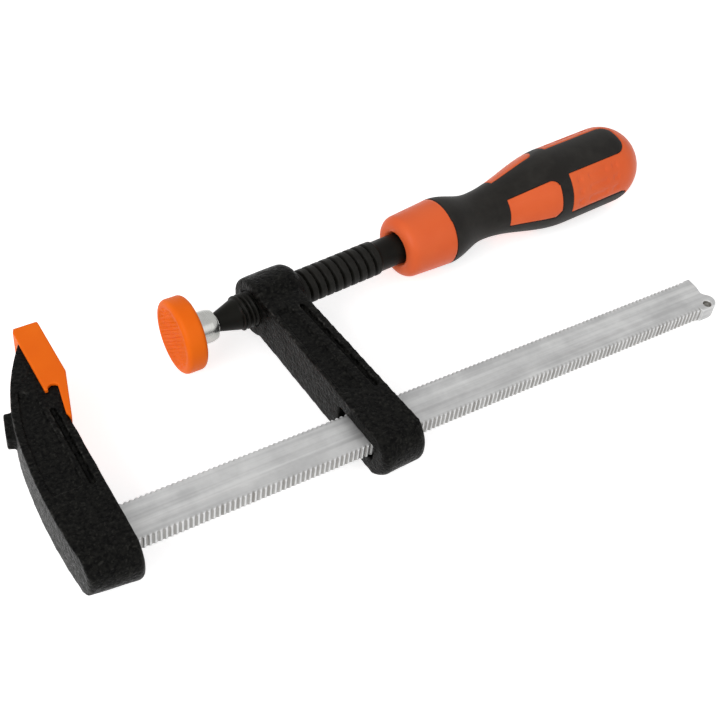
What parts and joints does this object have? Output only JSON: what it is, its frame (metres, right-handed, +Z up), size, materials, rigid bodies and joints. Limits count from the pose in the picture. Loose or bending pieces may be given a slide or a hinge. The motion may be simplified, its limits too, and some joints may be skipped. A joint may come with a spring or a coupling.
{
  "type": "quick release bar clamp",
  "caption": "F-shaped bar clamp: toothed flat bar, fixed arm with jaw cap, sliding arm, screw spindle with swivel pad and two-colour handle.",
  "frame": {"origin": "on the fixed jaw's clamping face, where the screw's nominal axis meets it", "axes": "+X along the bar from the fixed jaw towards the handle and normal to the clamping face, +Y away from the bar, +Z up, square to the clamp's flat side"},
  "size_m": [0.2355, 0.0938, 0.0266],
  "materials": {
    "plated_steel": "satin zinc plating, pale grey",
    "painted_casting": "rough black enamel on a sand casting, worn pale on the edges",
    "orange_cap": "soft satin orange plastic",
    "black_screw": "black oxide with a light oil sheen",
    "bright_steel": "bright plated steel",
    "orange_handle": "smooth orange plastic",
    "black_grip": "soft matte overmould"
  },
  "bodies": {
    "root": {"bar": "plated_steel", "fixed_arm": "painted_casting", "fixed_jaw_cap": "orange_cap"},
    "slider": {"sliding_arm": "painted_casting"},
    "feed": {"spindle_ball": "bright_steel"},
    "screw": {"spindle": "black_screw", "handle_core": "orange_handle", "handle_grip": "black_grip"},
    "pad": {"swivel_plate": "bright_steel", "pad_cap": "orange_cap"}
  },
  "joints": [
    {"name": "arm_slide", "type": "slide", "parent": "root", "child": "slider", "axis": [1, 0, 0], "range_m": [-0.003, 0.106]},
    {"name": "screw_feed", "type": "slide", "parent": "slider", "child": "feed", "axis": [-0.9974, -0.0715, 0], "range_m": [-0.01, 0.028]},
    {"name": "screw_turn", "type": "hinge", "parent": "feed", "child": "screw", "pos_m": [0.067, 0.0003, 0], "axis": [-0.9974, -0.0715, 0], "range_deg": [-1201, 3361]},
    {"name": "pad_tilt", "type": "hinge", "parent": "feed", "child": "pad", "pos_m": [0.04526, -0.00126, 0], "axis": [0, 0, 1], "range_deg": [-7, 15]}
  ],
  "couplings": [
    {"joint": "screw_turn", "follows": "screw_feed", "rad_per_m": 2094.4}
  ]
}
